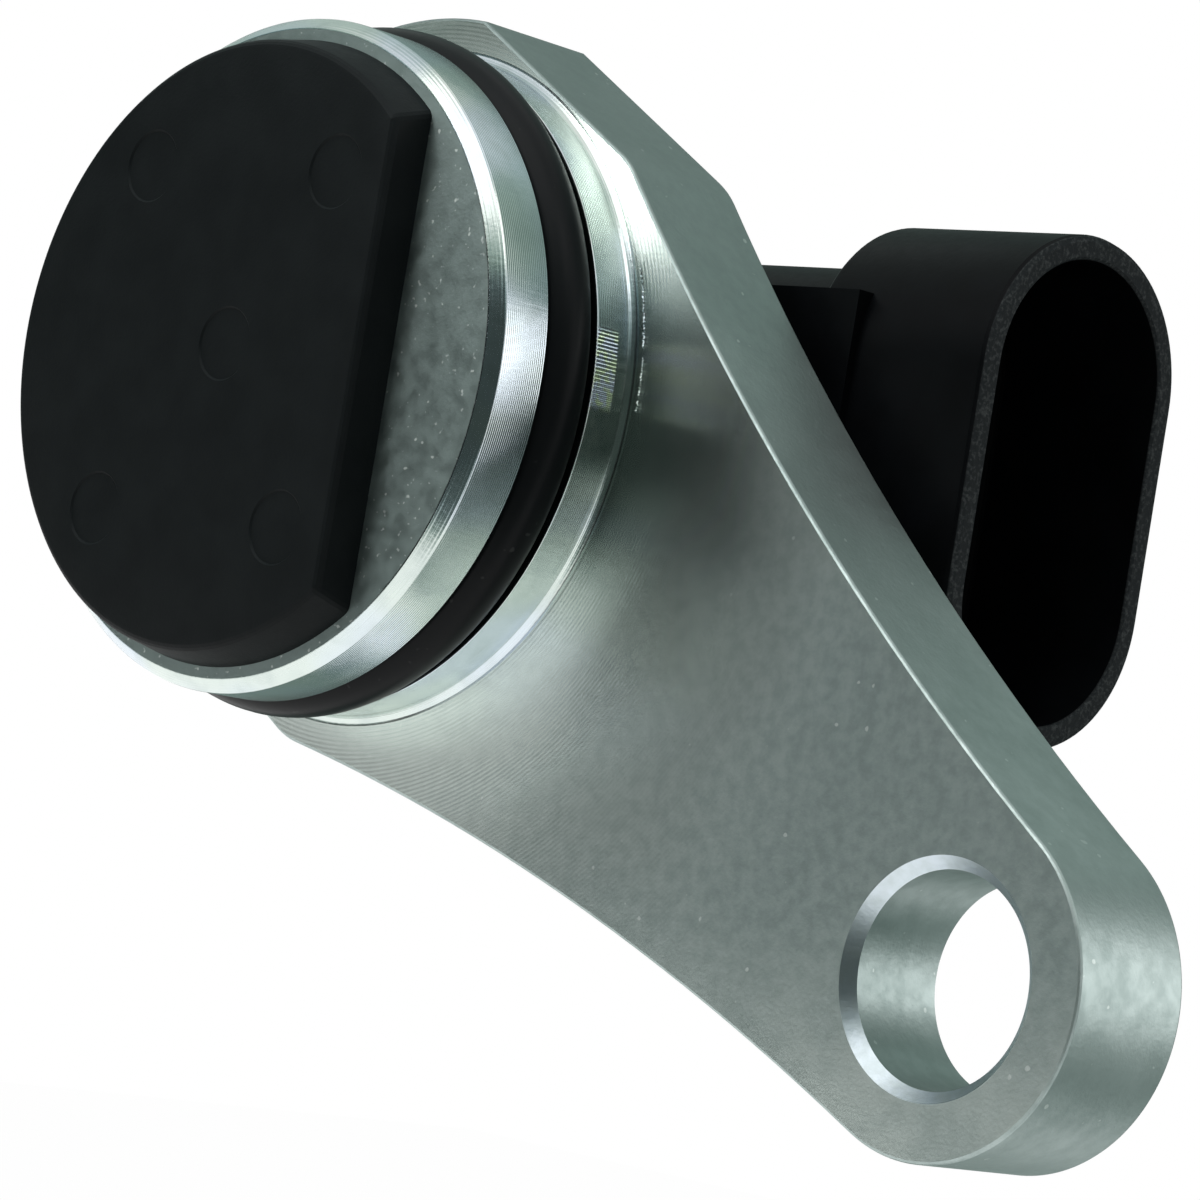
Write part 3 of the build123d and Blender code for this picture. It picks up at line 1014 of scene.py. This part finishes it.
def pale_floor():
    """Floor: pale, white to look at where the light reaches it."""
    bm = bmesh.new()
    place = Matrix.Translation((0, 0, floor_height))
    bmesh.ops.create_grid(bm, x_segments=1, y_segments=1, size=floor_half, matrix=place)
    finish, make = new_finish("floor_white")
    seen = seen_straight(make)
    matte = make.node("ShaderNodeBsdfDiffuse", inputs={"Color": floor_pale})
    glow = {"Color": white, "Strength": floor_lift * seen}
    lift = make.node("ShaderNodeEmission", inputs=glow)
    make.finish(make.node("ShaderNodeAddShader", inputs={0: matte, 1: lift}))
    floor = as_object("floor", bm, [finish])


def soft_lamp(name, azimuth, elevation, distance, size, watts):
    """A square lamp that faces the part."""
    data = bpy.data.lights.new(name, "AREA")
    data.shape = "SQUARE"
    data.size = size
    data.energy = watts
    lamp = bpy.data.objects.new(name, data)
    back = direction(math.radians(azimuth), math.radians(elevation))
    lamp.location = card_centre + back * distance
    lamp.rotation_euler = back.to_track_quat("Z", "Y").to_euler()
    lamp.visible_glossy = False
    bpy.context.scene.collection.objects.link(lamp)


def towards(make):
    """Direction from the part to a place on a card."""
    there = make.node("ShaderNodeTexCoord", output="Object")
    away = make.node("ShaderNodeVectorMath", {"operation": "SUBTRACT"}, {0: there, 1: card_centre})
    return make.node("ShaderNodeVectorMath", {"operation": "NORMALIZE"}, {0: away})


def nearness(make, way, pole):
    """Cosine of the angle between two directions."""
    settings = {"operation": "DOT_PRODUCT"}
    return make.node("ShaderNodeVectorMath", settings, {0: way, 1: pole}, "Value")


def rise(make, way, low, high, pole=upwards):
    """0 below the first elevation, 1 above the second, in degrees over the pole's ground."""
    height = nearness(make, way, pole)
    return make.between(height, math.sin(math.radians(low)), math.sin(math.radians(high)))


def spot(make, way, azimuth, elevation, inner, outer):
    """1 within the inner angle round a direction, 0 beyond the outer one, in degrees."""
    near = nearness(make, way, direction(math.radians(azimuth), math.radians(elevation)))
    return make.between(near, math.cos(math.radians(outer)), math.cos(math.radians(inner)))


def turn(make, way, first, last):
    """0 before the first azimuth, 1 past the last, in degrees, for the half in front."""
    x, y, _ = make.parts(way)
    angle = x.maths("ARCTAN2", x, 0 - y)
    return make.between(angle, math.radians(first), math.radians(last))


def front_level(make, way):
    """Pale table below, grey room on the left, lamps above, and the dark round the camera."""
    table_pole = direction(math.radians(40), math.radians(80))
    below = 1 - rise(make, way, -12, -6, table_pole)
    above = rise(make, way, 15, 38)
    left = 1 - turn(make, way, -112, -85)
    middle = (1 - below) * (1 - above)
    wall = spot(make, way, -40, 45, 12, 32)
    softbox = spot(make, way, 12, 60, 20, 25)
    side_lamp = spot(make, way, 73, 48, 7, 13)
    strip = spot(make, way, -19, 31, 8, 14)
    room = spot(make, way, 45, -3, 30, 43)
    grey = 0.62 * above + 0.25 * wall + 0.45 * left * middle
    pale = 1.25 * below + grey + 1.1 * softbox + 1.6 * side_lamp + 6.5 * strip
    return 0.02 + 0.04 * room + pale * (1 - 0.97 * room)


def rear_level(make, way):
    """Grey ground behind the part with one bright window low on the right."""
    window = spot(make, way, 134, 6, 13, 23)
    corner = spot(make, way, 150, 35, 8, 24)
    dusk = spot(make, way, 214, 38, 8, 24)
    above = rise(make, way, 20, 40)
    table = spot(make, way, 168, -53, 11, 22)
    sky = 0.28 * above * (1 - corner) * (1 - 0.7 * dusk)
    return 0.24 + sky + 0.85 * table + 2.2 * window


def mirror_card(name, azimuths, elevations, level):
    """A curved card that shows only in the part's own shine."""
    bm = bmesh.new()
    low, high = (math.radians(angle) for angle in elevations)
    first, last = (math.radians(angle) for angle in azimuths)
    start = bm.verts.new(card_centre + direction(first, low) * card_distance)
    swing = direction(first, 0).cross(Vector(upwards))
    sweep(bm, start, card_centre, swing, high - low, steps=16)
    spin_round(bm, bm.verts[:] + bm.edges[:], card_centre, upwards, last - first, steps=32)
    finish, make = new_finish(name)
    strength = level(make, towards(make))
    colour = make.blend(make.between(strength, 0.3, 1.0), card_tint, white)
    glow = {"Color": colour, "Strength": strength}
    make.finish(make.node("ShaderNodeEmission", inputs=glow))
    card = as_object(name, bm, [finish])
    card.visible_camera = False
    card.visible_diffuse = False
    card.visible_transmission = False
    card.visible_shadow = False


place_camera()
white_ground()
pale_floor()
soft_lamp("lamp_above", azimuth=-10, elevation=64, distance=0.42, size=0.34, watts=2.0)
mirror_card("card_front", azimuths=(-118, 92), elevations=(-50, 78), level=front_level)
mirror_card("card_rear", azimuths=(112, 240), elevations=(-62, 62), level=rear_level)

bpy.context.scene.view_settings.view_transform = "Standard"
